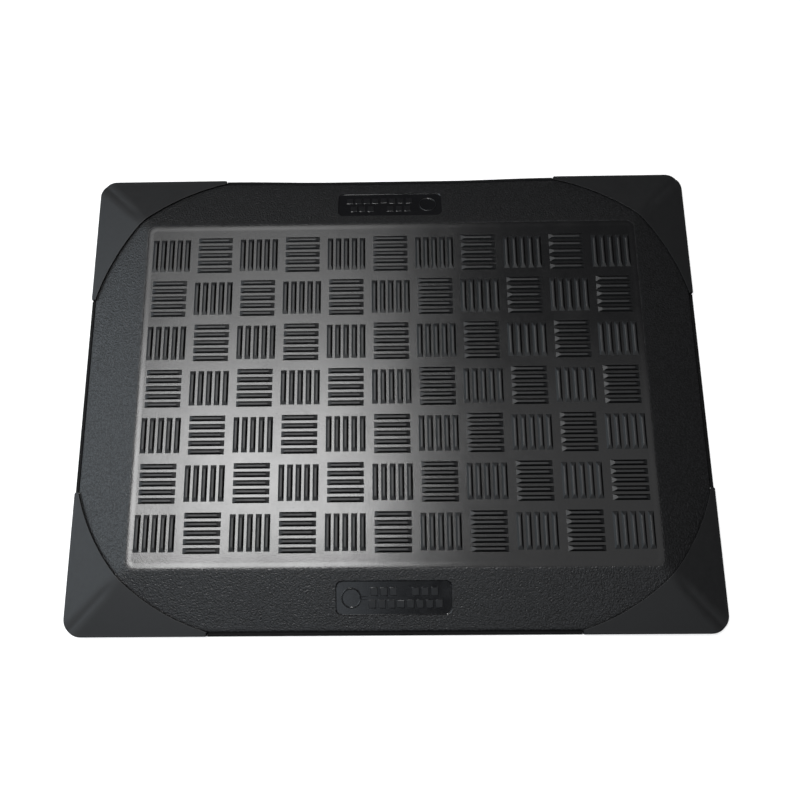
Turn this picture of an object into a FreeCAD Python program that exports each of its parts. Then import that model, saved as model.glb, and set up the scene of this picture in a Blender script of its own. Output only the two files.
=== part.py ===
"""Anti fatigue mat with a sloping grained border, a basket-weave panel and four push-on corner caps.

Millimetres, +Z up. The origin is on the floor under the middle of the mat. +X runs along the long side
and +Y towards the rear edge.
"""

import FreeCAD, Part
import math
import os

# Plan of the whole mat, measured over the corner caps.
LENGTH = 600.0
WIDTH = 455.0
OUTLINE_RADIUS = 17.0

# Heights above the floor.
BASE_TOP = 2.5
SCRIM_TOP = 3.0
SKIN_EDGE_TOP = 4.4
BORDER_TOP = 20.7
PANEL_FLOOR = 20.4
RIB_TOP = 22.0
ABOVE_ALL = 40.0

# Top skin. The base sheet shows as a narrow ledge all round it.
LEDGE = 4.0
SKIN_THICKNESS = 2.4
SKIN_EDGE_RADIUS = 13.0
PANEL_LENGTH = 484.3
PANEL_WIDTH = 337.4
PANEL_RADIUS = 7.0

# Basket weave: groups of ribs, lengthways and crossways in turn.
GROUPS_ALONG = 11
GROUPS_ACROSS = 7
GROUP_PITCH_X = 43.5
GROUP_PITCH_Y = 45.5
RIBS_PER_GROUP = 5
RIB_PITCH = 7.95
RIB_LENGTH = 33.9
RIB_WIDTH = 5.5
RIDGE_WIDTH = 1.8
RIDGE_SHORTENING = 10.0
RIB_ROOT = 0.3

# Two sunk label plates, one on the front border and one turned round on the rear border.
LABEL_LENGTH = 105.0
LABEL_WIDTH = 30.4
LABEL_RADIUS = 6.0
LABEL_CENTRE_Y = 194.6
LABEL_DEPTH = 0.9
MARK_HEIGHT = 0.4
RING_CENTRE_X = -38.4
RING_RADIUS = 9.0
RING_BAND = 1.2
BAR_LENGTH = 6.6
BAR_WIDTH = 7.4
BAR_PITCH = 8.6
BAR_ROW_Y = 5.4
BAR_GROUPS = ((-9.1, BAR_ROW_Y, 3), (28.0, BAR_ROW_Y, 3), (10.5, -BAR_ROW_Y, 8))

# Corner caps. The mouth of each one is an arc that bulges towards the corner.
CAP_LEG = 131.0
CAP_ARC_ON_DIAGONAL = 51.6
CAP_ARC_START = LEDGE
CAP_WALL = 3.4
CAP_TOP_THICKNESS = 2.0
CAP_BOTTOM_THICKNESS = 1.4
CAP_CLEARANCE = 0.3
CAP_END_CLEARANCE = 0.6
CAP_EDGE_RADIUS = 1.0

# Side of the X and the Y axis on which each corner lies.
CORNERS = {
    "front_left": (-1, -1),
    "front_right": (1, -1),
    "rear_left": (-1, 1),
    "rear_right": (1, 1),
}

RISE = BORDER_TOP - SKIN_EDGE_TOP
SLOPE = RISE / ((LENGTH - PANEL_LENGTH) / 2.0 - LEDGE)
UPRIGHT_PER_NORMAL = math.hypot(1.0, SLOPE)


def rounded_rectangle(length, width, radius, z):
    """Closed wire round the Z axis: four sides and four corner arcs."""
    half_x = length / 2.0
    half_y = width / 2.0
    edges = []
    for quarter in range(4):
        sign_x = (1, -1, -1, 1)[quarter]
        sign_y = (1, 1, -1, -1)[quarter]
        centre = FreeCAD.Vector(sign_x * (half_x - radius), sign_y * (half_y - radius), z)
        start_angle = math.radians(90.0 * quarter)

        def on_arc(fraction):
            angle = start_angle + fraction * math.pi / 2.0
            return centre + FreeCAD.Vector(radius * math.cos(angle), radius * math.sin(angle), 0.0)

        edges.append(Part.Arc(on_arc(0.0), on_arc(0.5), on_arc(1.0)).toShape())
    joined = []
    for quarter in range(4):
        arc = edges[quarter]
        following = edges[(quarter + 1) % 4]
        joined.append(arc)
        joined.append(Part.makeLine(arc.Vertexes[-1].Point, following.Vertexes[0].Point))
    return Part.Wire(joined)


def prism(length, width, radius, z_low, z_high):
    """Upright rounded block round the Z axis."""
    face = Part.Face(rounded_rectangle(length, width, radius, z_low))
    return face.extrude(FreeCAD.Vector(0.0, 0.0, z_high - z_low))


def inset_prism(inset, radius, z_low, z_high):
    """Upright block that lies inside the mat's outline by the inset."""
    return prism(LENGTH - 2.0 * inset, WIDTH - 2.0 * inset, radius, z_low, z_high)


def slope_contour(z):
    """Level line of the sloping border at a height, carried on straight past both of its edges."""
    part_way = (z - SKIN_EDGE_TOP) / RISE
    foot_length = LENGTH - 2.0 * LEDGE
    foot_width = WIDTH - 2.0 * LEDGE
    length = foot_length + part_way * (PANEL_LENGTH - foot_length)
    width = foot_width + part_way * (PANEL_WIDTH - foot_width)
    radius = SKIN_EDGE_RADIUS + part_way * (PANEL_RADIUS - SKIN_EDGE_RADIUS)
    return rounded_rectangle(length, width, radius, z)


def under_slope(lift, z_low=-4.0, z_high=BORDER_TOP):
    """Solid under the sloping border, moved up by the lift."""
    solid = Part.makeLoft([slope_contour(z_low), slope_contour(z_high)], True, True)
    solid.translate(FreeCAD.Vector(0.0, 0.0, lift))
    return solid


def filling():
    """Space inside the top skin, which the scrim and the foam share."""
    inset = LEDGE + SKIN_THICKNESS
    block = inset_prism(inset, SKIN_EDGE_RADIUS - SKIN_THICKNESS, BASE_TOP, PANEL_FLOOR - SKIN_THICKNESS)
    return block.common(under_slope(-SKIN_THICKNESS * UPRIGHT_PER_NORMAL))


def slab(z_low, z_high):
    """Flat slice of space over the whole mat, between two heights."""
    return Part.makeBox(LENGTH, WIDTH, z_high - z_low, FreeCAD.Vector(-LENGTH / 2.0, -WIDTH / 2.0, z_low))


def rib(centre_x, centre_y, crossways):
    """Hipped rib with a narrow flat ridge, rooted a little way into the panel."""
    height = RIB_TOP - PANEL_FLOOR

    def outline(z):
        part_way = (z - PANEL_FLOOR) / height
        along = RIB_LENGTH - part_way * RIDGE_SHORTENING
        across = RIB_WIDTH - part_way * (RIB_WIDTH - RIDGE_WIDTH)
        size_x, size_y = (across, along) if crossways else (along, across)
        low = FreeCAD.Vector(centre_x - size_x / 2.0, centre_y - size_y / 2.0, z)
        along_x = FreeCAD.Vector(size_x, 0.0, 0.0)
        along_y = FreeCAD.Vector(0.0, size_y, 0.0)
        return Part.makePolygon([low, low + along_x, low + along_x + along_y, low + along_y, low])

    return Part.makeLoft([outline(PANEL_FLOOR - RIB_ROOT), outline(RIB_TOP)], True, True)


def basket_weave():
    """Every rib of the panel. The group at the rear left runs crossways, and its neighbours lengthways."""
    ribs = []
    for column in range(GROUPS_ALONG):
        for row in range(GROUPS_ACROSS):
            group_x = (column - (GROUPS_ALONG - 1) / 2.0) * GROUP_PITCH_X
            group_y = ((GROUPS_ACROSS - 1) / 2.0 - row) * GROUP_PITCH_Y
            crossways = (column + row) % 2 == 0
            for index in range(RIBS_PER_GROUP):
                step = (index - (RIBS_PER_GROUP - 1) / 2.0) * RIB_PITCH
                shift_x, shift_y = (step, 0.0) if crossways else (0.0, step)
                ribs.append(rib(group_x + shift_x, group_y + shift_y, crossways))
    return ribs


def front_label_pocket():
    """Room cut into the front border for its sunk plate."""
    pocket = prism(LABEL_LENGTH, LABEL_WIDTH, LABEL_RADIUS, 0.0, ABOVE_ALL)
    pocket.translate(FreeCAD.Vector(0.0, -LABEL_CENTRE_Y, 0.0))
    return pocket.cut(under_slope(-LABEL_DEPTH))


def front_label_marks():
    """Plain ring and two rows of plain bars, standing up from the sunk plate."""
    ring = Part.makeCylinder(RING_RADIUS, ABOVE_ALL).cut(Part.makeCylinder(RING_RADIUS - RING_BAND, ABOVE_ALL))
    ring.translate(FreeCAD.Vector(RING_CENTRE_X, -LABEL_CENTRE_Y, 0.0))
    posts = [ring]
    for group_x, group_y, count in BAR_GROUPS:
        for index in range(count):
            x = group_x + (index - (count - 1) / 2.0) * BAR_PITCH - BAR_LENGTH / 2.0
            corner = FreeCAD.Vector(x, group_y - LABEL_CENTRE_Y - BAR_WIDTH / 2.0, 0.0)
            posts.append(Part.makeBox(BAR_LENGTH, BAR_WIDTH, ABOVE_ALL, corner))
    top = under_slope(MARK_HEIGHT - LABEL_DEPTH)
    root = under_slope(-LABEL_DEPTH - MARK_HEIGHT)
    return [post.common(top).cut(root) for post in posts]


def front_and_rear(shape):
    """The shape and its twin turned half round, for the rear border."""
    twin = shape.copy()
    twin.rotate(FreeCAD.Vector(0.0, 0.0, 0.0), FreeCAD.Vector(0.0, 0.0, 1.0), 180.0)
    return [shape, twin]


def tread_skin():
    """Moulded top: sloping border, slightly sunk panel with its ribs, and the two label plates."""
    edge = inset_prism(LEDGE, SKIN_EDGE_RADIUS, BASE_TOP, ABOVE_ALL)
    skin = edge.common(under_slope(0.0))
    panel_pocket = prism(PANEL_LENGTH, PANEL_WIDTH, PANEL_RADIUS, PANEL_FLOOR, ABOVE_ALL)
    skin = skin.cut([filling(), panel_pocket] + front_and_rear(front_label_pocket()))
    raised = basket_weave()
    for mark in front_label_marks():
        raised.extend(front_and_rear(mark))
    return skin.fuse(raised)


def foam_core():
    """Cushion that fills the skin above the scrim."""
    return filling().common(slab(SCRIM_TOP, ABOVE_ALL))


def conductive_scrim():
    """Thin woven layer between the backing and the foam."""
    return filling().common(slab(BASE_TOP, SCRIM_TOP))


def arc_centre_and_radius():
    """Mouth of a cap, as distances from the mat's two sides at that corner."""
    lead = CAP_LEG ** 2 + CAP_ARC_START ** 2 - 2.0 * CAP_ARC_ON_DIAGONAL ** 2
    centre = lead / (2.0 * (CAP_LEG + CAP_ARC_START - 2.0 * CAP_ARC_ON_DIAGONAL))
    return centre, math.sqrt(2.0) * (centre - CAP_ARC_ON_DIAGONAL)


def corner_region(grow):
    """Plan of the cap at the +X +Y corner as a tall block, grown on its mouth and its two ends."""
    centre, radius = arc_centre_and_radius()
    side = CAP_LEG + grow
    corner = FreeCAD.Vector(LENGTH / 2.0 - side, WIDTH / 2.0 - side, -ABOVE_ALL)
    block = Part.makeBox(side + 1.0, side + 1.0, 2.0 * ABOVE_ALL, corner)
    axis_foot = FreeCAD.Vector(LENGTH / 2.0 - centre, WIDTH / 2.0 - centre, -ABOVE_ALL)
    return block.cut(Part.makeCylinder(radius - grow, 2.0 * ABOVE_ALL, axis_foot))


def at_corner(shape, sign_x, sign_y):
    """Copy of a +X +Y corner shape at another corner."""
    moved = shape.copy()
    if sign_x < 0:
        moved = moved.mirror(FreeCAD.Vector(0.0, 0.0, 0.0), FreeCAD.Vector(1.0, 0.0, 0.0))
    if sign_y < 0:
        moved = moved.mirror(FreeCAD.Vector(0.0, 0.0, 0.0), FreeCAD.Vector(0.0, 1.0, 0.0))
    return moved


def base_sheet():
    """Backing whose edge is the ledge. Each corner is stepped to make room for a cap's wall and lower lip."""
    sheet = inset_prism(0.0, OUTLINE_RADIUS, 0.0, BASE_TOP)
    rim = sheet.cut(inset_prism(LEDGE, SKIN_EDGE_RADIUS, 0.0, BASE_TOP))
    lip_room = slab(0.0, CAP_BOTTOM_THICKNESS + CAP_CLEARANCE)
    region = corner_region(CAP_END_CLEARANCE)
    step = rim.common(region).fuse(lip_room.common(region))
    return sheet.cut([at_corner(step, *signs) for signs in CORNERS.values()])


def outer_top_edges(cap):
    """Edges between the cap's upright outer wall and its sloping top."""
    found = []
    for edge in cap.Edges:
        middle = edge.valueAt((edge.FirstParameter + edge.LastParameter) / 2.0)
        box = edge.BoundBox
        near_side = LENGTH / 2.0 - middle.x < 0.01 or WIDTH / 2.0 - middle.y < 0.01
        inset = OUTLINE_RADIUS * (1.0 - math.sqrt(0.5))
        on_arc = abs(LENGTH / 2.0 - inset - middle.x) < 1.0 and abs(WIDTH / 2.0 - inset - middle.y) < 1.0
        if box.ZMin > SKIN_EDGE_TOP and (near_side or on_arc):
            found.append(edge)
    return found


def corner_cap():
    """The +X +Y cap: a top that follows the border, an outer wall and a lip under the mat."""
    lift = (CAP_CLEARANCE + CAP_TOP_THICKNESS) * UPRIGHT_PER_NORMAL
    outside = inset_prism(0.0, OUTLINE_RADIUS, 0.0, ABOVE_ALL).common(under_slope(lift))
    hollow = inset_prism(CAP_WALL, OUTLINE_RADIUS - CAP_WALL, CAP_BOTTOM_THICKNESS, ABOVE_ALL)
    hollow = hollow.common(under_slope(CAP_CLEARANCE * UPRIGHT_PER_NORMAL))
    cap = outside.cut(hollow).common(corner_region(0.0))
    return cap.makeFillet(CAP_EDGE_RADIUS, outer_top_edges(cap))


def nodes():
    """Every sub-part of the mat, by name."""
    parts = {
        "tread_skin": tread_skin(),
        "foam_core": foam_core(),
        "conductive_scrim": conductive_scrim(),
        "base_sheet": base_sheet(),
    }
    cap = corner_cap()
    for place, signs in CORNERS.items():
        parts["corner_cap_" + place] = at_corner(cap, *signs)
    return parts


def single_solid(name, shape):
    """The one valid solid of a sub-part."""
    if len(shape.Solids) != 1:
        raise ValueError(name + " is not one solid")
    solid = shape.Solids[0]
    if not solid.isValid():
        raise ValueError(name + " is not a valid solid")
    return solid


os.makedirs("parts", exist_ok=True)
for node, made in nodes().items():
    solid = single_solid(node, made)
    solid.exportStep("parts/" + node + ".step")
    print(node, round(solid.Volume), "mm3")
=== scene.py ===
"""Looks of the anti fatigue mat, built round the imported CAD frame.

Metres, +Z up. +X runs along the long side and +Y towards the rear edge.
"""

import math

import bpy
import numpy as np
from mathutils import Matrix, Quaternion, Vector
from mathutils.geometry import delaunay_2d_cdt


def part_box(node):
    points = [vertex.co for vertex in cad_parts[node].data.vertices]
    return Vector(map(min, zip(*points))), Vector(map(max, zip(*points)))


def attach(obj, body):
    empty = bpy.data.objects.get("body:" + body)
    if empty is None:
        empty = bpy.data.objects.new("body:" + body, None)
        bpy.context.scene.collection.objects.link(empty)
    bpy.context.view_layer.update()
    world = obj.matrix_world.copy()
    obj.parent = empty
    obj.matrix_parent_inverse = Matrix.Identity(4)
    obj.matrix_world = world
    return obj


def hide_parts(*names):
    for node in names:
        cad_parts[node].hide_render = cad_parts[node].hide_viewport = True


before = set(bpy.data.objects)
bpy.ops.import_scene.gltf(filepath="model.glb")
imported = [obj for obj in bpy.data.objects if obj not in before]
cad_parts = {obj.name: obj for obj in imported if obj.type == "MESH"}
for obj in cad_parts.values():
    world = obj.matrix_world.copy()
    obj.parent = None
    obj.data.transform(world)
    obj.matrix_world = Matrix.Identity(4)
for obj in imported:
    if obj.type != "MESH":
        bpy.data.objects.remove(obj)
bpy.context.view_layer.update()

MM = 0.001

# Heights and half sizes that the frame gives.
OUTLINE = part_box("base_sheet")[1]
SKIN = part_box("tread_skin")[1]
BASE_TOP = OUTLINE.z
RIB_CREST = SKIN.z
FOAM_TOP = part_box("foam_core")[1].z
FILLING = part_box("conductive_scrim")[1]
SCRIM_TOP = FILLING.z
CAP_LEG = OUTLINE.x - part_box("corner_cap_rear_right")[0].x

# Sloping border: from the foot, at the skin's outer edge, up to the edge of the sunk panel.
OUTLINE_RADIUS = 17.0 * MM
FOOT_RADIUS = 13.0 * MM
FOOT_Z = 4.4 * MM
PANEL_HALF = Vector((240.5 * MM, 167.0 * MM))
PANEL_RADIUS = 7.0 * MM
BORDER_TOP = 21.2 * MM
PANEL_FLOOR = 20.4 * MM
SKIN_THICKNESS = 2.4 * MM

# Centre lines of the corner arcs, which every level line of the border shares.
STRAIGHT_TOP = PANEL_HALF - Vector((PANEL_RADIUS, PANEL_RADIUS))
STRAIGHT_FOOT = Vector((SKIN.x - FOOT_RADIUS, SKIN.y - FOOT_RADIUS))
RISE = BORDER_TOP - FOOT_Z
RUN_X = SKIN.x - PANEL_HALF.x
RUN_Y = SKIN.y - PANEL_HALF.y
UPRIGHT_PER_NORMAL = math.hypot(1.0, RISE / RUN_X)

# Basket weave.
GROUPS_ALONG = 11
GROUPS_ACROSS = 7
GROUP_PITCH = Vector((43.5 * MM, 45.5 * MM))
RIBS_PER_GROUP = 5
RIB_PITCH = 7.95 * MM
RIB_LENGTH = 33.9 * MM
RIB_WIDTH = 5.5 * MM
RIB_HEIGHT = RIB_CREST - PANEL_FLOOR

# Level lines of a rib: half width, distance in from its end, and height as a share of the rib's.
RIB_LEVELS = (
    (RIB_WIDTH / 2.0, 0.0, 0.0),
    (1.1 * MM, 3.5 * MM, 0.9),
    (0.88 * MM, 3.8 * MM, 0.96),
    (0.55 * MM, 4.3 * MM, 0.99),
    (0.0, 5.0 * MM, 1.0),
)
# A rib's face belongs to its dull top where the upright share of its normal is above this. The rest are its
# sides, whose finish has painted shade in its colour.
RIB_SIDE_LEAN = 0.85

# Profile where the border rolls over into the sunk panel: millimetres outside the panel's edge, and height.
PANEL_EDGE = (
    (-4.1, 20.40), (-3.3, 20.415), (-2.5, 20.455), (-1.6, 20.51), (-0.7, 20.55),
    (0.1, 20.56), (0.9, 20.545), (1.6, 20.51), (2.3, 20.42), (3.0, 20.28),
)

# Rings of faces round the panel that are as smooth as its floor.
SMOOTH_ROWS = 7

# Level lines of the slope above and below the label plates, as shares of the way down it.
UPPER_DOWNS = (0.065, 0.085, 0.12)
LOWER_DOWNS = (0.82, 0.9, 0.96, 0.983)

# Rounded foot of the skin: millimetres in from its outer edge, and height.
SKIN_FOOT = ((0.45, 4.36), (0.12, 4.10), (0.0, 3.70), (0.0, 3.10), (0.25, 2.70), (0.6, 2.50))

# Profile of the backing, from its underside to its top, in millimetres: distance outside the skin's edge
# and height on the open sides, then the same beside a cap. None stands for the edge of the cap's lip.
BACKING_PROFILE = (
    (3.6, 0.0, None, 0.0),
    (4.0, 0.3, None, 0.25),
    (4.0, 1.62, None, 1.62),
    (4.0, 1.74, -0.02, 1.70),
    (4.0, 2.25, 0.0, 2.2),
    (3.94, 2.42, -0.06, 2.42),
    (3.78, 2.5, -0.14, 2.5),
    (1.35, 2.5, -0.3, 2.5),
    (1.2, 2.35, -0.4, 2.5),
    (1.1, 1.5, -0.5, 2.5),
    (-0.4, 1.45, -0.7, 2.5),
    (-0.8, 2.5, -0.9, 2.5),
)
BACKING_JOIN = 0.02 * MM

# Label plates.
LABEL_HALF = Vector((52.5 * MM, 15.2 * MM))
LABEL_RADIUS = 6.0 * MM
LABEL_Y = 194.6 * MM
LABEL_DEPTH = 0.9 * MM
LABEL_WALL = 0.8 * MM
MARK_HEIGHT = 0.45 * MM
MARK_WALL = 0.4 * MM
RING_X = -38.4 * MM
RING_RADIUS = 9.0 * MM
RING_BAND = 1.2 * MM
BAR_HALF = Vector((3.3 * MM, 3.7 * MM))
BAR_CORNER = 0.8 * MM
BAR_PITCH = 8.6 * MM
BAR_ROW_Y = 5.4 * MM
BAR_GROUPS = ((-9.1 * MM, BAR_ROW_Y, 3), (28.0 * MM, BAR_ROW_Y, 3), (10.5 * MM, -BAR_ROW_Y, 8))

# Spacing of the grid lines over a label plate: on its wall, beside its round corners and over its ring.
WALL_STEP = 0.16 * MM
CORNER_STEP = 0.7 * MM
RING_STEP = 0.42 * MM
LEAST_STEP = 0.12 * MM

# Corner caps.
CAP_ON_DIAGONAL = 51.6 * MM
CAP_ARC_START = OUTLINE.x - SKIN.x
CAP_WALL = 3.4 * MM
CAP_TOP_THICKNESS = 2.0 * MM
CAP_LIP_THICKNESS = 1.4 * MM
CAP_CLEARANCE = 0.3 * MM
CAP_END_ROUND = 1.5 * MM
CAP_END_GAP = 0.15 * MM
MOUTH_UNDERCUT = 1.2 * MM
CAP_TOP_INSET = 0.5 * MM
CAP_SHOULDER = 1.2 * MM

# A cap's top is softened along the corner's diagonal, fully so from this share of the way out of its mouth.
CAP_SOFTENING = 4.0 * MM
SOFT_FROM = 0.35

# Rounded edges of a cap's section, in millimetres: how far in from the mouth or from the outer wall, and
# how far below the top or, at the heel and the lip, how far above the ground.
MOUTH_EDGE = ((0.0, 0.22), (0.04, 0.06), (0.16, 0.0))
SHOULDER_EDGE = ((0.65, 0.10), (0.3, 0.32), (0.08, 0.68), (0.0, 1.2))
HEEL_EDGE = ((0.0, 0.5), (0.15, 0.15), (0.5, 0.0))
LIP_EDGE = ((0.4, 0.0), (0.0, 0.35), (0.0, 1.05), (0.3, 1.4))

# The rear rim is drawn in a little between the caps.
BOW = 1.9 * MM
BOW_FLAT = 60.0 * MM
BOW_FADE = 105.0 * MM

# Side of the X and the Y axis on which each corner lies.
CORNERS = {"front_left": (-1, -1), "front_right": (1, -1), "rear_left": (-1, 1), "rear_right": (1, 1)}

# Faces that meet at less than this are shaded as one.
SMOOTH_BELOW = math.radians(16.5)

# Finishes of the skin's faces, in the order of its material slots.
GRAIN, FLOOR, RIB_SIDE, RIB_TOP, PLATE, MARK = range(6)

# Nearly all values of a noise texture lie in this range.
NOISE_RANGE = (0.3, 0.7)

WHITE = (1.0, 1.0, 1.0)

# Soft boxes of the studio: name, place, point that it faces, two sides of its face, strength and colour.
SOFT_BOXES = (
    ("key_front", (-0.39, 0.065, 1.5), (-0.39, 0.065, 0.0), (0.74, 0.44), 16.5, WHITE),
    ("key_rear", (-0.39, 0.385, 1.5), (-0.39, 0.385, 0.0), (0.74, 0.20), 10.5, WHITE),
    ("back", (-0.37, 0.75, 1.5), (-0.37, 0.75, 0.0), (0.8, 0.5), 3.4, WHITE),
    ("right", (0.62, 0.0, 1.5), (0.62, 0.0, 0.0), (0.9, 0.9), 0.7, WHITE),
    ("left", (-1.5, 0.12, 1.0), (0.0, 0.12, 0.0), (1.4, 0.9), 2.1, (0.8, 0.91, 1.0)),
    ("left_low", (-1.7, 0.05, 0.42), (0.0, 0.05, 0.05), (1.8, 0.6), 1.8, (0.84, 0.93, 1.0)),
    ("front_left", (-0.62, -1.2, 1.5), (-0.62, -0.2, 0.0), (1.08, 0.8), 1.5, (0.84, 0.92, 1.0)),
    ("front_right", (0.66, -1.2, 1.5), (0.66, -0.2, 0.0), (0.6, 0.8), 1.3, (0.9, 0.95, 1.0)),
)


# ---- mesh helpers ----

def make_object(name, points, faces, face_materials=None, materials=(), sharp_angle=SMOOTH_BELOW):
    """Mesh object with smooth shading, and sharp edges where its faces turn by more than an angle."""
    mesh = bpy.data.meshes.new(name)
    mesh.from_pydata([tuple(p) for p in points], [], faces)
    for material in materials:
        mesh.materials.append(material)
    if face_materials is not None:
        mesh.polygons.foreach_set("material_index", face_materials)
    mesh.validate()
    made = bpy.data.objects.new(name, mesh)
    bpy.context.scene.collection.objects.link(made)
    mesh.shade_smooth()
    mesh.set_sharp_from_angle(angle=sharp_angle)
    return made


def ring_faces(rings, around):
    """Quads between closed rings of points that are stored ring after ring."""
    faces = []
    for ring in range(rings - 1):
        for place in range(around):
            a = ring * around + place
            b = ring * around + (place + 1) % around
            faces.append((a, b, b + around, a + around))
    return faces


def turned(faces):
    """The same faces, seen from their other side."""
    return [tuple(reversed(face)) for face in faces]


def loop_of(points, first, count):
    """Run of points as a loop for fill_flat."""
    return [(first + k, points[first + k][0], points[first + k][1]) for k in range(count)]


def fill_flat(loops):
    """Triangles between the first loop and the loops inside it. Each loop is a list of (index, x, y)."""
    coordinates = []
    owner = []
    edges = []
    for number, loop in enumerate(loops):
        first = len(coordinates)
        for place, (index, x, y) in enumerate(loop):
            coordinates.append(Vector((x, y)))
            owner.append((number, index))
            edges.append((first + place, first + (place + 1) % len(loop)))
    result = delaunay_2d_cdt(coordinates, edges, [], 1, 1e-8)
    source = [original[0] if original else None for original in result[3]]
    triangles = []
    for triangle in result[2]:
        corners = [owner[source[corner]] for corner in triangle]
        numbers = {number for number, _ in corners}
        if len(numbers) == 1 and numbers != {0}:
            continue
        triangles.append(tuple(index for _, index in corners))
    return triangles


def end_faces(points, rings, around):
    """Flat ends of a stack of rings: the last ring's, and then the first ring's."""
    last = fill_flat([loop_of(points, (rings - 1) * around, around)])
    return last + turned(fill_flat([loop_of(points, 0, around)]))


# ---- level lines of the border ----

def spaced(low, high, step):
    """Evenly spaced values from low to high, at most a step apart."""
    count = max(2, math.ceil((high - low) / step) + 1)
    return list(np.linspace(low, high, count))


def merged(values, least):
    """Sorted values, without those nearer than least to the one before."""
    kept = []
    for value in sorted(values):
        if not kept or value - kept[-1] >= least:
            kept.append(value)
    return kept


def bar_centres():
    """Middle of each plain bar, about the middle of its label plate."""
    centres = []
    for group_x, group_y, count in BAR_GROUPS:
        for index in range(count):
            centres.append((group_x + (index - (count - 1) / 2.0) * BAR_PITCH, group_y))
    return centres


def label_lines(axis):
    """Grid lines over a label plate, close together where its relief turns."""
    half = LABEL_HALF[axis]
    lines = []
    for side in (-1, 1):
        lines += [side * value for value in spaced(half - LABEL_WALL, half + 0.1 * MM, WALL_STEP)]
        lines += [side * value for value in spaced(half - LABEL_RADIUS, half - LABEL_WALL, CORNER_STEP)]
        lines.append(side * (half + 1.2 * MM))
    ring_centre = (RING_X, 0.0)[axis]
    lines += spaced(ring_centre - RING_RADIUS - 0.2 * MM, ring_centre + RING_RADIUS + 0.2 * MM, RING_STEP)
    for centre in bar_centres():
        for side in (-1, 1):
            edge = centre[axis] + side * BAR_HALF[axis]
            lines += [edge, edge - side * MARK_WALL / 2.0, edge - side * MARK_WALL]
    return merged(lines, LEAST_STEP)


def side_stations():
    """Places round the border: for each, a point of the top and foot centre lines, and the normal."""
    label_x = label_lines(0)
    calm = LABEL_HALF.x + 6.0 * MM
    outer = spaced(calm, STRAIGHT_TOP.x, 18.0 * MM)
    front = [-x for x in reversed(outer)] + label_x + outer
    fan = (STRAIGHT_FOOT.x - STRAIGHT_TOP.x) / (STRAIGHT_TOP.x - calm)
    upright = spaced(-STRAIGHT_TOP.y, STRAIGHT_TOP.y, 22.0 * MM)
    corner_steps = 9
    stations = []

    def add_side(positions, normal):
        for s in positions:
            if normal[0] == 0:
                spread = math.copysign(max(0.0, abs(s) - calm) * fan, s)
                top = (s, normal[1] * STRAIGHT_TOP.y)
                foot = (s + spread, normal[1] * STRAIGHT_FOOT.y)
            else:
                top = (normal[0] * STRAIGHT_TOP.x, s)
                foot = (normal[0] * STRAIGHT_FOOT.x, s * STRAIGHT_FOOT.y / STRAIGHT_TOP.y)
            stations.append((top, foot, normal))

    def add_corner(sign_x, sign_y, start):
        for step in range(1, corner_steps):
            angle = math.radians(start + 90.0 * step / corner_steps)
            top = (sign_x * STRAIGHT_TOP.x, sign_y * STRAIGHT_TOP.y)
            foot = (sign_x * STRAIGHT_FOOT.x, sign_y * STRAIGHT_FOOT.y)
            stations.append((top, foot, (math.cos(angle), math.sin(angle))))

    add_side(front, (0, -1))
    add_corner(1, -1, 270.0)
    add_side(upright, (1, 0))
    add_corner(1, 1, 0.0)
    add_side([-x for x in front], (0, 1))
    add_corner(-1, 1, 90.0)
    add_side([-y for y in upright], (-1, 0))
    add_corner(-1, -1, 180.0)
    return np.array(stations)


STATIONS = side_stations()


def level_line(down, radius, z):
    """Closed loop round the mat. down is 0 at the panel's edge and 1 at the foot of the slope."""
    centre = STATIONS[:, 0] + down * (STATIONS[:, 1] - STATIONS[:, 0])
    plan = centre + radius * STATIONS[:, 2]
    return np.column_stack([plan, np.full(len(plan), z)])


def slope_line(down):
    """Level line on the sloping border."""
    radius = PANEL_RADIUS + down * (FOOT_RADIUS - PANEL_RADIUS)
    return level_line(down, radius, BORDER_TOP - down * RISE)


def slope_height(x, y):
    """Height of the border's slope over any point outside the panel, carried on past the foot."""
    x = np.abs(x)
    y = np.abs(y)
    flat = np.minimum((SKIN.x - x) / RUN_X, (SKIN.y - y) / RUN_Y)
    step_x = STRAIGHT_FOOT.x - STRAIGHT_TOP.x
    step_y = STRAIGHT_FOOT.y - STRAIGHT_TOP.y
    step_r = FOOT_RADIUS - PANEL_RADIUS
    off_x = x - STRAIGHT_FOOT.x
    off_y = y - STRAIGHT_FOOT.y
    a = step_x ** 2 + step_y ** 2 - step_r ** 2
    b = step_x * off_x + step_y * off_y + step_r * FOOT_RADIUS
    c = off_x ** 2 + off_y ** 2 - FOOT_RADIUS ** 2
    cone = (np.sqrt(np.maximum(b * b - a * c, 0.0)) - b) / a
    in_corner = (off_x + cone * step_x > 0.0) & (off_y + cone * step_y > 0.0)
    return FOOT_Z + RISE * np.where(in_corner, cone, flat)


# ---- relief of the label plates ----

def eased(value):
    """Smooth step from 0 to 1."""
    value = np.clip(value, 0.0, 1.0)
    return value * value * (3.0 - 2.0 * value)


def inside_rounded(x, y, half, radius):
    """Distance inside a rounded rectangle, negative outside it."""
    over_x = np.abs(x) - (half[0] - radius)
    over_y = np.abs(y) - (half[1] - radius)
    outside = np.hypot(np.maximum(over_x, 0.0), np.maximum(over_y, 0.0))
    return radius - outside - np.minimum(np.maximum(over_x, over_y), 0.0)


def label_place(x, y):
    """Position on a label plate, about its middle. The rear plate is turned half round."""
    turned = np.where(y > 0.0, -1.0, 1.0)
    return x * turned, y * turned + LABEL_Y


def label_distance(x, y):
    """Distance inside the edge of the nearer label plate, negative outside it."""
    return inside_rounded(*label_place(x, y), LABEL_HALF, LABEL_RADIUS)


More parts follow.
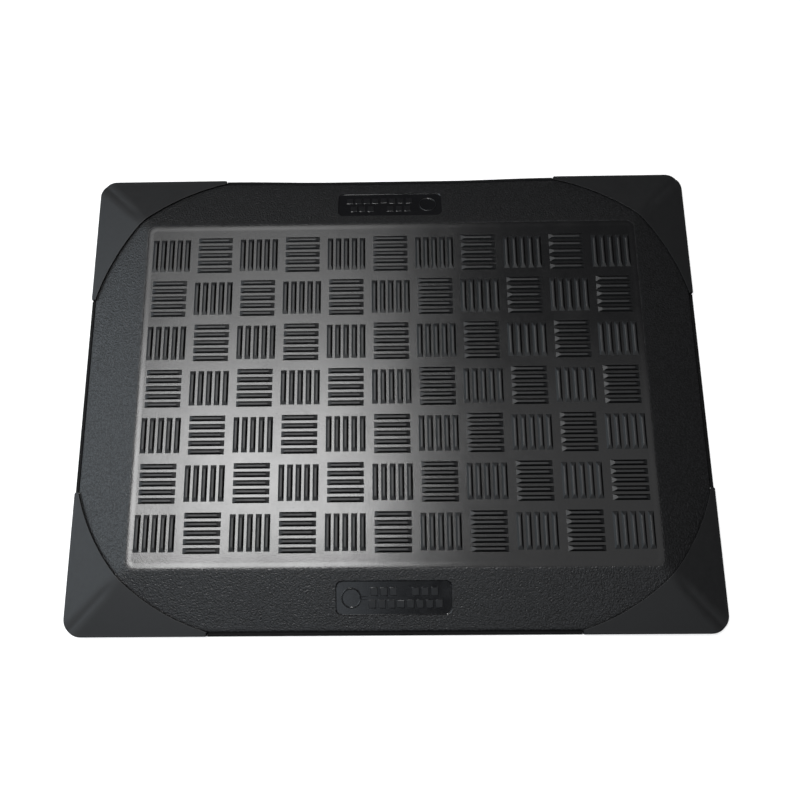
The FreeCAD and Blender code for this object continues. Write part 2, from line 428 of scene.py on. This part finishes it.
def mark_share(x, y):
    """How far the plain marks of a label plate stand up at a point, from 0 to 1."""
    x, y = label_place(x, y)
    ring = RING_BAND / 2.0 - np.abs(np.hypot(x - RING_X, y) - (RING_RADIUS - RING_BAND / 2.0))
    marks = eased(ring / MARK_WALL)
    for centre_x, centre_y in bar_centres():
        bar = inside_rounded(x - centre_x, y - centre_y, BAR_HALF, BAR_CORNER)
        marks = np.maximum(marks, eased(bar / MARK_WALL))
    return marks


def label_relief(x, y):
    """Height added to the slope by a label plate and its marks."""
    return MARK_HEIGHT * mark_share(x, y) - LABEL_DEPTH * eased(label_distance(x, y) / LABEL_WALL)


def bowed(points):
    """The same points with the mat's rear rim drawn in between the caps."""
    points = np.array(points)
    reach = np.clip((points[:, 1] - PANEL_HALF.y) / (OUTLINE.y - PANEL_HALF.y), 0.0, 1.0)
    between = 1.0 - eased((np.abs(points[:, 0]) - BOW_FLAT) / BOW_FADE)
    points[:, 1] -= BOW * reach ** 1.5 * between
    return points


# ---- the moulded skin ----

def rib_patch():
    """One rib along X about the origin: points, faces, finishes of the faces, and outline as indices."""
    levels = len(RIB_LEVELS)
    half_widths = [level[0] for level in RIB_LEVELS]
    heights = [level[2] * RIB_HEIGHT for level in RIB_LEVELS]
    ys = [-w for w in half_widths] + list(reversed(half_widths[:-1]))
    y_levels = list(range(levels)) + list(reversed(range(levels - 1)))
    xs = [level[1] - RIB_LENGTH / 2.0 for level in RIB_LEVELS]
    xs += [-x for x in reversed(xs)]
    x_levels = list(range(levels)) + list(reversed(range(levels)))
    points = [(x, y, heights[min(lx, ly)]) for y, ly in zip(ys, y_levels) for x, lx in zip(xs, x_levels)]
    across = len(ys)
    along = len(xs)
    faces = []
    kinds = []
    for row in range(across - 1):
        for column in range(along - 1):
            a = row * along + column
            b, c, d = a + 1, a + along + 1, a + along
            y_low = min(y_levels[row], y_levels[row + 1])
            x_low = min(x_levels[column], x_levels[column + 1])
            rising = (y_levels[row] - y_levels[row + 1]) * (x_levels[column] - x_levels[column + 1])
            if y_low == x_low and rising > 0:
                faces += [(a, b, c), (a, c, d)]
            elif y_low == x_low and rising < 0:
                faces += [(a, b, d), (b, c, d)]
            else:
                faces.append((a, b, c, d))
    outline = list(range(along))
    outline += [row * along + along - 1 for row in range(1, across)]
    outline += [(across - 1) * along + column for column in reversed(range(along - 1))]
    outline += [row * along for row in reversed(range(1, across - 1))]
    points = np.array(points)
    for face in faces:
        first, second, third = points[list(face[:3])]
        normal = np.cross(second - first, third - first)
        kinds.append(RIB_TOP if normal[2] > RIB_SIDE_LEAN * np.linalg.norm(normal) else RIB_SIDE)
    return points, faces, kinds, outline


def rib_places():
    """Centre of every rib, and whether it runs crossways. The rear left group is a crossways one."""
    places = []
    for column in range(GROUPS_ALONG):
        for row in range(GROUPS_ACROSS):
            group_x = (column - (GROUPS_ALONG - 1) / 2.0) * GROUP_PITCH.x
            group_y = ((GROUPS_ACROSS - 1) / 2.0 - row) * GROUP_PITCH.y
            crossways = (column + row) % 2 == 0
            for index in range(RIBS_PER_GROUP):
                step = (index - (RIBS_PER_GROUP - 1) / 2.0) * RIB_PITCH
                shift = (step, 0.0) if crossways else (0.0, step)
                places.append((group_x + shift[0], group_y + shift[1], crossways))
    return places


def border_rows():
    """Level lines from the panel's floor, over the border and down to the backing."""
    rows = []
    for outward, z in PANEL_EDGE:
        down = max(0.0, outward * MM / RUN_Y)
        radius = PANEL_RADIUS + min(0.0, outward) * MM + down * (FOOT_RADIUS - PANEL_RADIUS)
        rows.append(level_line(down, radius, z * MM))
    label_downs = [(LABEL_Y + y - PANEL_HALF.y) / RUN_Y for y in label_lines(1)]
    for down in (*UPPER_DOWNS, *label_downs, *LOWER_DOWNS):
        line = slope_line(down)
        near_label = label_distance(line[:, 0], line[:, 1]) > -1.0 * MM
        line[:, 2] += np.where(near_label, label_relief(line[:, 0], line[:, 1]), 0.0)
        rows.append(line)
    for inward, z in SKIN_FOOT:
        rows.append(level_line(1.0, FOOT_RADIUS - inward * MM, z * MM))
    return rows


def lining_rows():
    """Level lines up the inside of the skin, from the backing to the ceiling over the foam."""
    inner = FOOT_RADIUS - SKIN_THICKNESS
    drop = SKIN_THICKNESS * UPRIGHT_PER_NORMAL
    rows = [level_line(1.0, inner, BASE_TOP), level_line(1.0, inner, BASE_TOP + 0.2 * MM)]
    for down in (0.93, 0.5, (BORDER_TOP - drop - FOAM_TOP) / RISE):
        line = slope_line(down)
        line[:, 2] -= drop
        rows.append(line)
    return rows


def build_skin(materials):
    """Closed shell: ribbed panel, border with its label plates, outer edge and lining."""
    rows = border_rows()
    around = len(STATIONS)
    border_faces = len(rows) * around
    rows += lining_rows()
    points = np.vstack(rows)
    faces = ring_faces(len(rows), around)
    middles = points[np.array(faces)].mean(axis=1)
    on_plate = label_distance(middles[:, 0], middles[:, 1]) > 0.0
    on_plate[border_faces:] = False
    on_mark = on_plate & (mark_share(middles[:, 0], middles[:, 1]) > 0.4)
    kinds = [MARK if mark else PLATE if plate else GRAIN for plate, mark in zip(on_plate, on_mark)]
    smooth_faces = SMOOTH_ROWS * around
    kinds[:smooth_faces] = [FLOOR] * smooth_faces
    last = (len(rows) - 1) * around
    ceiling = fill_flat([loop_of(points, last, around)])
    faces += turned(ceiling)
    kinds += [GRAIN] * len(ceiling)

    patch, patch_faces, patch_kinds, outline = rib_patch()
    loops = [loop_of(points, 0, around)]
    blocks = [points]
    used = len(points)
    for centre_x, centre_y, crossways in rib_places():
        x, y, z = patch.T
        if crossways:
            x, y = -y, x
        block = np.column_stack([x + centre_x, y + centre_y, z + PANEL_FLOOR])
        faces += [tuple(used + corner for corner in face) for face in patch_faces]
        kinds += patch_kinds
        loops.append([(used + corner, block[corner][0], block[corner][1]) for corner in outline])
        blocks.append(block)
        used += len(block)
    floor = fill_flat(loops)
    faces += floor
    kinds += [FLOOR] * len(floor)
    return make_object("tread_skin_moulded", bowed(np.vstack(blocks)), faces, kinds, materials)


# ---- backing sheet ----

def backing_stations():
    """Places round the skin's edge: point, outward normal, and point of the cap's lip or None."""
    reach = CAP_LEG + CAP_END_GAP
    inset = CAP_ARC_START
    arc_centre, arc_radius = mouth_circle()
    arc_radius -= CAP_CLEARANCE
    corner_steps = 40
    side_steps = 24
    stations = []

    def corner_plan(length):
        """Point and normal at a distance along the corner's edge, in distances from the two sides."""
        straight = reach - inset - FOOT_RADIUS
        turn = FOOT_RADIUS * math.pi / 2.0
        if length < straight:
            return (reach - length, inset), (0.0, -1.0)
        if length > straight + turn:
            return (inset, inset + FOOT_RADIUS + length - straight - turn), (-1.0, 0.0)
        angle = math.pi / 2.0 * (length - straight) / turn
        normal = (-math.sin(angle), -math.cos(angle))
        middle = inset + FOOT_RADIUS
        return (middle + FOOT_RADIUS * normal[0], middle + FOOT_RADIUS * normal[1]), normal

    whole = 2.0 * (reach - inset - FOOT_RADIUS) + FOOT_RADIUS * math.pi / 2.0
    start = math.atan2(inset - arc_centre, reach - arc_centre)
    end = math.atan2(reach - arc_centre, inset - arc_centre)
    for sign_x, sign_y in ((-1, -1), (1, -1), (1, 1), (-1, 1)):
        corner = []
        for step in range(corner_steps + 1):
            share = step / corner_steps
            (u, v), (nu, nv) = corner_plan(share * whole)
            angle = start + share * (end - start)
            lip_u = arc_centre + arc_radius * math.cos(angle)
            lip_v = arc_centre + arc_radius * math.sin(angle)
            place = (sign_x * (OUTLINE.x - u), sign_y * (OUTLINE.y - v))
            lip = (sign_x * (OUTLINE.x - lip_u), sign_y * (OUTLINE.y - lip_v))
            corner.append((place, (-sign_x * nu, -sign_y * nv), lip))
        if sign_x * sign_y > 0:
            corner.reverse()
        stations += corner
        first = np.array(corner[-1][0])
        normal = np.array(corner[-1][1])
        along = np.array([-normal[1], normal[0]])
        length = 2.0 * (abs(np.dot(first, along)) - BACKING_JOIN)
        for step in range(side_steps + 1):
            place = first + along * (BACKING_JOIN + length * step / side_steps)
            stations.append((tuple(place), tuple(normal), None))
    return stations


def build_backing(material):
    """Closed sheet with a rounded ledge, a fine groove at the skin's foot and room for the caps' lips."""
    stations = backing_stations()
    points = []
    for open_out, open_z, capped_out, capped_z in BACKING_PROFILE:
        for place, normal, lip in stations:
            out, z = (open_out, open_z) if lip is None else (capped_out, capped_z)
            if out is None:
                points.append((lip[0], lip[1], z * MM))
            else:
                points.append((place[0] + out * MM * normal[0], place[1] + out * MM * normal[1], z * MM))
    points = bowed(points)
    around = len(stations)
    faces = ring_faces(len(BACKING_PROFILE), around) + end_faces(points, len(BACKING_PROFILE), around)
    return make_object("base_sheet_moulded", points, faces, None, (material,), math.radians(35.0))


# ---- corner caps ----

def mouth_circle():
    """Centre distance from both sides of the corner, and radius, of a cap's mouth."""
    lead = CAP_LEG ** 2 + CAP_ARC_START ** 2 - 2.0 * CAP_ON_DIAGONAL ** 2
    centre = lead / (2.0 * (CAP_LEG + CAP_ARC_START - 2.0 * CAP_ON_DIAGONAL))
    return centre, math.sqrt(2.0) * (centre - CAP_ON_DIAGONAL)


def cap_outline():
    """Outer edge of a cap as points and outward normals, in distances from the corner's two sides."""
    path = []

    def arc(centre, radius, start, end, steps):
        for step in range(steps + 1):
            angle = math.radians(start + (end - start) * step / steps)
            normal = np.array([math.cos(angle), math.sin(angle)])
            path.append((np.array(centre) + radius * normal, normal))

    def straight(start, end, normal, steps):
        for step in range(1, steps):
            part_way = step / steps
            path.append((np.array(start) * (1.0 - part_way) + np.array(end) * part_way, np.array(normal)))

    tip = CAP_LEG - CAP_END_ROUND
    arc((tip, CAP_END_ROUND), CAP_END_ROUND, 0.0, -90.0, 4)
    straight((tip, 0.0), (OUTLINE_RADIUS, 0.0), (0.0, -1.0), 36)
    arc((OUTLINE_RADIUS, OUTLINE_RADIUS), OUTLINE_RADIUS, -90.0, -180.0, 14)
    straight((0.0, OUTLINE_RADIUS), (0.0, tip), (-1.0, 0.0), 36)
    arc((CAP_END_ROUND, tip), CAP_END_ROUND, 180.0, 90.0, 4)
    return path


def cap_mouth(count):
    """The mouth's arc as (point, direction towards the corner's side), from one end to the other."""
    centre, radius = mouth_circle()
    start = math.atan2(CAP_ARC_START - centre, CAP_LEG - centre)
    end = math.atan2(CAP_LEG - centre, CAP_ARC_START - centre)
    path = []
    for step in range(count):
        angle = start + (end - start) * step / (count - 1)
        normal = np.array([math.cos(angle), math.sin(angle)])
        path.append((centre + radius * normal, normal))
    return path


def slope_at(plan):
    """Height of the border's slope at a place given by its distances from the corner's two sides."""
    return float(slope_height(OUTLINE.x - plan[0], OUTLINE.y - plan[1]))


def softening(plan, share):
    """How far a cap's top comes down near the corner's diagonal, more and more away from the mouth."""
    apart = abs((plan[0] - CAP_ARC_START) / RUN_X - (plan[1] - CAP_ARC_START) / RUN_Y) * RISE
    near = max(0.0, 1.0 - apart / CAP_SOFTENING)
    return CAP_SOFTENING * near ** 2 / 4.0 * float(eased(share / SOFT_FROM))


def cap_section(outer, outward, inner, towards):
    """Closed section of a cap between a point of its outer edge and one of its mouth."""
    lift = (CAP_CLEARANCE + CAP_TOP_THICKNESS) * UPRIGHT_PER_NORMAL
    gap = CAP_CLEARANCE * UPRIGHT_PER_NORMAL
    reach = np.linalg.norm(outer - inner)
    undercut = min(MOUTH_UNDERCUT, 0.1 * reach)
    top_rows = 22
    under_rows = 5
    section = []

    def add(plan, z):
        section.append((plan[0], plan[1], z))

    for inset, drop in MOUTH_EDGE:
        plan = inner + inset * MM * towards
        add(plan, slope_at(plan) + lift - drop * MM)
    from_plan = inner + CAP_TOP_INSET * towards
    to_plan = outer - min(CAP_SHOULDER, 0.3 * reach) * outward
    for row in range(top_rows):
        part_way = row / (top_rows - 1)
        plan = from_plan + part_way * (to_plan - from_plan)
        add(plan, slope_at(plan) + lift - softening(plan, part_way))
    crest = slope_at(to_plan) + lift - softening(to_plan, 1.0)
    for inset, drop in SHOULDER_EDGE:
        add(outer - inset * MM * outward, crest - drop * MM)
    for inset, z in HEEL_EDGE:
        add(outer - inset * MM * outward, z * MM)
    for inset, z in LIP_EDGE:
        add(inner + inset * MM * towards, z * MM)
    wall = outer - min(CAP_WALL, 0.85 * reach) * outward
    add(wall, CAP_LIP_THICKNESS)
    add(wall, slope_at(wall) + gap)
    for row in range(1, under_rows):
        part_way = row / (under_rows - 1)
        plan = wall + part_way * (inner + undercut * towards - wall)
        add(plan, slope_at(plan) + gap)
    return section


def build_cap(name, sign_x, sign_y, material):
    """Closed shell: a top that follows the border, an outer wall, and a lip that goes under the mat."""
    outline = cap_outline()
    mouth = cap_mouth(len(outline))
    sections = [cap_section(*outer, *inner) for outer, inner in zip(outline, mouth)]
    columns = len(sections[0])
    points = np.array(sections).reshape(-1, 3)
    points[:, 0] = sign_x * (OUTLINE.x - points[:, 0])
    points[:, 1] = sign_y * (OUTLINE.y - points[:, 1])
    faces = ring_faces(len(sections), columns)
    faces.append(tuple(reversed(range(columns))))
    faces.append(tuple((len(sections) - 1) * columns + column for column in range(columns)))
    if sign_x * sign_y < 0:
        faces = turned(faces)
    return make_object(name, points, faces, None, (material,), math.radians(32.0))


# ---- foam and scrim ----

def build_foam(material):
    """Closed block that fills the skin, with eased top edges."""
    slack = 0.05 * MM
    inner = FOOT_RADIUS - SKIN_THICKNESS - slack
    drop = SKIN_THICKNESS * UPRIGHT_PER_NORMAL + slack
    top_down = (BORDER_TOP - drop - FOAM_TOP) / RISE
    rows = [level_line(1.0, inner, SCRIM_TOP)]
    for down in (0.93, 0.6, 0.3, top_down + 0.02):
        line = slope_line(down)
        line[:, 2] -= drop
        rows.append(line)
    rows.append(level_line(top_down, PANEL_RADIUS - 2.0 * MM, FOAM_TOP - slack))
    around = len(STATIONS)
    points = bowed(np.vstack(rows))
    faces = turned(ring_faces(len(rows), around)) + end_faces(points, len(rows), around)
    return make_object("foam_core_block", points, faces, None, (material,))


def build_scrim(material):
    """Thin flat sheet between the foam and the backing."""
    slack = 0.02 * MM
    inner = FOOT_RADIUS - SKIN_THICKNESS - 0.1 * MM
    around = len(STATIONS)
    points = bowed(np.vstack([level_line(1.0, inner, z) for z in (BASE_TOP + slack, SCRIM_TOP - slack)]))
    faces = ring_faces(2, around) + end_faces(points, 2, around)
    return make_object("conductive_scrim_sheet", points, faces, None, (material,))


# ---- materials ----

class Nodes:
    """Short way to write a node material."""

    def __init__(self, name, specular=0.5):
        self.material = bpy.data.materials.new(name)
        self.material.use_nodes = True
        self.tree = self.material.node_tree
        self.shader = self.tree.nodes["Principled BSDF"]
        self.shader.inputs["Specular IOR Level"].default_value = specular
        place = self.tree.nodes.new("ShaderNodeTexCoord")
        self.place = place.outputs["Object"]

    def node(self, kind, **settings):
        """New node of a kind, with its settings."""
        made = self.tree.nodes.new(kind)
        for key, value in settings.items():
            setattr(made, key, value)
        return made

    def link(self, output, target):
        self.tree.links.new(output, target)

    def noise(self, scale, detail, roughness=0.5):
        """Noise texture."""
        made = self.node("ShaderNodeTexNoise")
        made.inputs["Scale"].default_value = scale
        made.inputs["Detail"].default_value = detail
        made.inputs["Roughness"].default_value = roughness
        self.link(self.place, made.inputs["Vector"])
        return made.outputs["Fac"]

    def cells(self, scale, feature="F1"):
        """Distance to the middle of the nearest cell."""
        made = self.node("ShaderNodeTexVoronoi", feature=feature)
        made.inputs["Scale"].default_value = scale
        self.link(self.place, made.inputs["Vector"])
        return made.outputs["Distance"]

    def ranged(self, source, from_low, from_high, to_low, to_high):
        """The source's values, carried from one range over to another."""
        made = self.node("ShaderNodeMapRange")
        made.inputs["From Min"].default_value = from_low
        made.inputs["From Max"].default_value = from_high
        made.inputs["To Min"].default_value = to_low
        made.inputs["To Max"].default_value = to_high
        self.link(source, made.inputs["Value"])
        return made.outputs["Result"]

    def spread(self, noise, low, high):
        """Values from low to high that follow a noise."""
        return self.ranged(noise, *NOISE_RANGE, low, high)

    def mixed(self, factor, first, second):
        """Colour between two colours."""
        made = self.node("ShaderNodeMix", data_type="RGBA")
        made.inputs[6].default_value = (*first, 1.0)
        made.inputs[7].default_value = (*second, 1.0)
        self.link(factor, made.inputs[0])
        return made.outputs[2]

    def bump(self, height, strength, distance, under=None):
        """Normal of a bumpy surface, on top of another bump if there is one."""
        made = self.node("ShaderNodeBump")
        made.inputs["Strength"].default_value = strength
        made.inputs["Distance"].default_value = distance
        self.link(height, made.inputs["Height"])
        if under is not None:
            self.link(under, made.inputs["Normal"])
        return made.outputs["Normal"]

    def finish(self, colour, roughness, normal):
        """Links the shader's inputs, and gives the finished material."""
        self.link(colour, self.shader.inputs["Base Color"])
        self.link(roughness, self.shader.inputs["Roughness"])
        self.link(normal, self.shader.inputs["Normal"])
        return self.material


def grained_rubber():
    """Border: black rubber with a fine pebble grain."""
    n = Nodes("border_grain")
    grain = n.noise(620.0, 1.0)
    speckle = n.ranged(grain, 0.38, 0.62, 0.0, 1.0)
    colour = n.mixed(speckle, (0.0002, 0.0002, 0.0003), (0.012, 0.0121, 0.0128))
    roughness = n.ranged(grain, 0.38, 0.62, 0.5, 0.31)
    pebbles = n.ranged(n.cells(780.0, "SMOOTH_F1"), 0.0, 0.7, 1.0, 0.0)
    coarse = n.bump(grain, 1.0, 0.0005)
    normal = n.bump(pebbles, 0.5, 0.0003, coarse)
    return n.finish(colour, roughness, normal)


def floor_rubber():
    """Panel floor: the same rubber off a smooth, semi-gloss mould face."""
    n = Nodes("panel_semi_gloss")
    colour = n.mixed(n.noise(45.0, 3.0), (0.0045, 0.0045, 0.0048), (0.007, 0.007, 0.0074))
    roughness = n.spread(n.noise(20.0, 9.0, 0.8), 0.18, 0.275)
    waves = n.bump(n.noise(22.0, 1.0), 0.25, 0.0012)
    normal = n.bump(n.noise(900.0, 2.0), 0.5, 0.00016, waves)
    return n.finish(colour, roughness, normal)


def rib_side_painted_shade_rubber():
    """Steep sides of the ribs: the same rubber as their tops, but with its colour painted nearly black as
    painted shade on the flanks, and a weaker reflection.
    """
    n = Nodes("rib_sides_painted_shade", specular=0.3)
    # Painted shade: a colour far darker than the rib tops', standing in for the shadow on the flanks.
    colour = n.mixed(n.noise(80.0, 2.0), (0.0006, 0.0006, 0.0007), (0.0012, 0.0012, 0.0013))
    roughness = n.spread(n.noise(700.0, 2.0), 0.3, 0.38)
    normal = n.bump(n.noise(1300.0, 2.0), 0.2, 0.0001)
    return n.finish(colour, roughness, normal)


def rib_top_rubber():
    """Tops and end slopes of the ribs, dulled by feet."""
    n = Nodes("rib_tops_dull", specular=0.42)
    colour = n.mixed(n.noise(90.0, 3.0), (0.0045, 0.0046, 0.0052), (0.008, 0.0083, 0.009))
    roughness = n.spread(n.noise(60.0, 7.0, 0.75), 0.46, 0.57)
    normal = n.bump(n.noise(1300.0, 2.0), 0.4, 0.00015)
    return n.finish(colour, roughness, normal)


def plate_rubber():
    """Label plates: smooth and a little glossier than the border."""
    n = Nodes("label_plate_gloss")
    colour = n.mixed(n.noise(70.0, 2.0), (0.0038, 0.0038, 0.0043), (0.0056, 0.0056, 0.0062))
    roughness = n.spread(n.noise(60.0, 6.0, 0.7), 0.17, 0.26)
    normal = n.bump(n.noise(260.0, 2.0), 0.12, 0.0001)
    return n.finish(colour, roughness, normal)


def mark_rubber():
    """Raised marks of the label plates: a finer, duller finish than the plate."""
    n = Nodes("label_mark_satin")
    colour = n.mixed(n.noise(120.0, 2.0), (0.004, 0.004, 0.0046), (0.0065, 0.0065, 0.0072))
    roughness = n.spread(n.noise(500.0, 2.0), 0.3, 0.38)
    normal = n.bump(n.noise(900.0, 2.0), 0.25, 0.0001)
    return n.finish(colour, roughness, normal)


def cap_plastic():
    """Corner caps: smooth satin moulding."""
    n = Nodes("cap_satin")
    colour = n.mixed(n.noise(35.0, 2.0), (0.0045, 0.0046, 0.005), (0.0062, 0.0063, 0.0068))
    roughness = n.spread(n.noise(260.0, 3.0), 0.5, 0.57)
    normal = n.bump(n.noise(1600.0, 2.0), 0.12, 0.0001)
    return n.finish(colour, roughness, normal)


def backing_rubber():
    """Backing: matt black, with a fine grip grain."""
    n = Nodes("backing_matt", specular=0.12)
    colour = n.mixed(n.noise(70.0, 3.0), (0.002, 0.002, 0.0022), (0.004, 0.004, 0.0043))
    roughness = n.spread(n.noise(500.0, 3.0), 0.6, 0.72)
    normal = n.bump(n.cells(700.0), 0.3, 0.0002)
    return n.finish(colour, roughness, normal)


def foam_rubber():
    """Core: grey-black foam with fine closed cells."""
    n = Nodes("closed_cell_foam")
    colour = n.mixed(n.noise(120.0, 4.0), (0.012, 0.012, 0.013), (0.03, 0.03, 0.032))
    roughness = n.spread(n.noise(700.0, 2.0), 0.8, 0.95)
    normal = n.bump(n.cells(1500.0), 0.7, 0.0004)
    return n.finish(colour, roughness, normal)


def scrim_weave():
    """Plain weave with carbon yarn."""
    n = Nodes("scrim_weave")
    weave = n.node("ShaderNodeTexBrick", offset=0.5, squash=1.0)
    weave.inputs["Scale"].default_value = 260.0
    weave.inputs["Color1"].default_value = (0.05, 0.05, 0.055, 1.0)
    weave.inputs["Color2"].default_value = (0.02, 0.02, 0.022, 1.0)
    weave.inputs["Mortar"].default_value = (0.008, 0.008, 0.009, 1.0)
    n.link(n.place, weave.inputs["Vector"])
    roughness = n.spread(n.noise(800.0, 2.0), 0.7, 0.85)
    normal = n.bump(weave.outputs["Fac"], 0.5, 0.0002)
    return n.finish(weave.outputs["Color"], roughness, normal)


def glowing(name, specular, patch_scale, first, second, glow):
    """Pale, dull surface with an even glow of its own."""
    n = Nodes(name, specular)
    n.link(n.mixed(n.noise(patch_scale, 2.0), first, second), n.shader.inputs["Base Color"])
    n.shader.inputs["Roughness"].default_value = 0.9
    n.shader.inputs["Emission Color"].default_value = (1.0, 1.0, 1.0, 1.0)
    n.shader.inputs["Emission Strength"].default_value = glow
    return n.material


def floor_material():
    """Studio floor, whose glow keeps the shadows on it soft."""
    return glowing("floor", 0.1, 3.0, (0.52, 0.52, 0.52), (0.5, 0.5, 0.5), 0.62)


def backdrop_material():
    """Studio wall."""
    return glowing("backdrop", 0.5, 0.4, (0.7, 0.7, 0.7), (0.74, 0.74, 0.74), 0.4)


# ---- the studio ----

def add_floor():
    """Pale floor. It doesn't show in reflections, so that the black edges beside it stay black."""
    half = 12.0
    points = [(-half, -half, 0.0), (half, -half, 0.0), (half, half, 0.0), (-half, half, 0.0)]
    floor = make_object("floor", points, [(0, 1, 2, 3)], None, (floor_material(),))
    floor.location.z = -0.2 * MM
    floor.visible_glossy = False


def add_backdrop():
    """Pale wall far round the floor. It lights nothing and shows in no reflection."""
    radius = 11.5
    height = 7.0
    segments = 96
    points = []
    for z in (0.0, height):
        for step in range(segments):
            angle = 2.0 * math.pi * step / segments
            points.append((radius * math.cos(angle), radius * math.sin(angle), z))
    wall = make_object("backdrop", points, ring_faces(2, segments), None, (backdrop_material(),))
    wall.visible_diffuse = False
    wall.visible_glossy = False
    wall.visible_transmission = False
    wall.visible_shadow = False


def add_soft_box(name, place, aim, sides, strength, colour):
    """Area light whose power goes with its area, so that its face stays as bright at any size."""
    light = bpy.data.lights.new(name, "AREA")
    light.shape = "RECTANGLE"
    light.size = sides[0]
    light.size_y = sides[1]
    light.energy = strength * math.pi * sides[0] * sides[1]
    light.color = colour
    holder = bpy.data.objects.new(name, light)
    holder.location = place
    holder.rotation_mode = "QUATERNION"
    holder.rotation_quaternion = (Vector(aim) - Vector(place)).to_track_quat("-Z", "Y")
    bpy.context.scene.collection.objects.link(holder)


def add_world():
    """Faint grey light from all round."""
    world = bpy.data.worlds.new("studio")
    world.use_nodes = True
    background = world.node_tree.nodes["Background"]
    background.inputs["Color"].default_value = (0.035, 0.035, 0.036, 1.0)
    background.inputs["Strength"].default_value = 1.0
    bpy.context.scene.world = world


def add_camera():
    """Camera nearly over the front edge, looking back and down at the mat's middle."""
    place = Vector((-0.0006, -0.1949, 0.7386))
    aim = Vector((-0.0116, -0.0107, 0.010))
    roll = math.radians(-3.9)
    data = bpy.data.cameras.new("camera")
    data.sensor_width = 36.0
    data.lens = 35.3
    data.shift_x = 0.0253
    data.clip_start = 0.01
    camera = bpy.data.objects.new("camera", data)
    camera.location = place
    camera.rotation_mode = "QUATERNION"
    camera.rotation_quaternion = (aim - place).to_track_quat("-Z", "Y") @ Quaternion((0.0, 0.0, 1.0), roll)
    bpy.context.scene.collection.objects.link(camera)
    bpy.context.scene.camera = camera


def add_studio():
    """Everything round the mat: floor, backdrop, lights and camera."""
    add_floor()
    add_backdrop()
    for soft_box in SOFT_BOXES:
        add_soft_box(*soft_box)
    add_world()
    add_camera()
    bpy.context.scene.view_settings.view_transform = "Standard"


# ---- assembly ----

def dress_mat():
    """The four layers of the mat, each in place of its CAD node."""
    finishes = (
        grained_rubber(),
        floor_rubber(),
        rib_side_painted_shade_rubber(),
        rib_top_rubber(),
        plate_rubber(),
        mark_rubber(),
    )
    skin = build_skin(finishes)
    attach(skin, "mat")
    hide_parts("tread_skin")

    foam = build_foam(foam_rubber())
    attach(foam, "mat")
    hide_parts("foam_core")

    scrim = build_scrim(scrim_weave())
    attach(scrim, "mat")
    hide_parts("conductive_scrim")

    backing = build_backing(backing_rubber())
    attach(backing, "mat")
    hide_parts("base_sheet")


def dress_caps():
    """The four corner caps, each in place of its CAD node."""
    plastic = cap_plastic()
    for place, (sign_x, sign_y) in CORNERS.items():
        cap = build_cap("cap_" + place + "_moulded", sign_x, sign_y, plastic)
        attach(cap, "cap_" + place)
        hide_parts("corner_cap_" + place)


add_studio()
dress_mat()
dress_caps()
